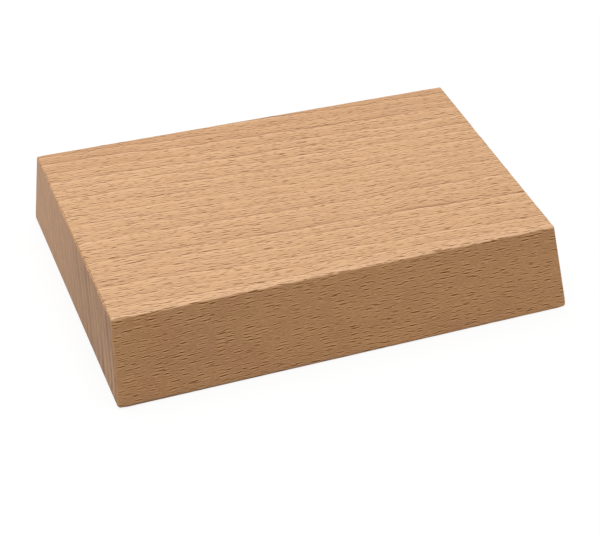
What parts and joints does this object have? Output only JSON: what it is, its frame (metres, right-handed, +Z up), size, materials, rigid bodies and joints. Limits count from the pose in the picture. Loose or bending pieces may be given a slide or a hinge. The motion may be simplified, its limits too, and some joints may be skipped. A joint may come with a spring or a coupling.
{
  "type": "wooden display stand",
  "caption": "Low solid beech block with a flat top, sides that lean in from a wider base, one square-sawn end and eased edges, for setting a small item on show.",
  "frame": {"origin": "middle of the base, on the surface that the stand rests on", "axes": "+X along the grain from the square end to the leaning end, +Y from the front to the back, +Z up"},
  "size_m": [0.1498, 0.0948, 0.0295],
  "materials": {
    "beech": "fine-sanded beech with a thin satin oil"
  },
  "bodies": {
    "root": {"stand_block": "beech"}
  },
  "joints": []
}
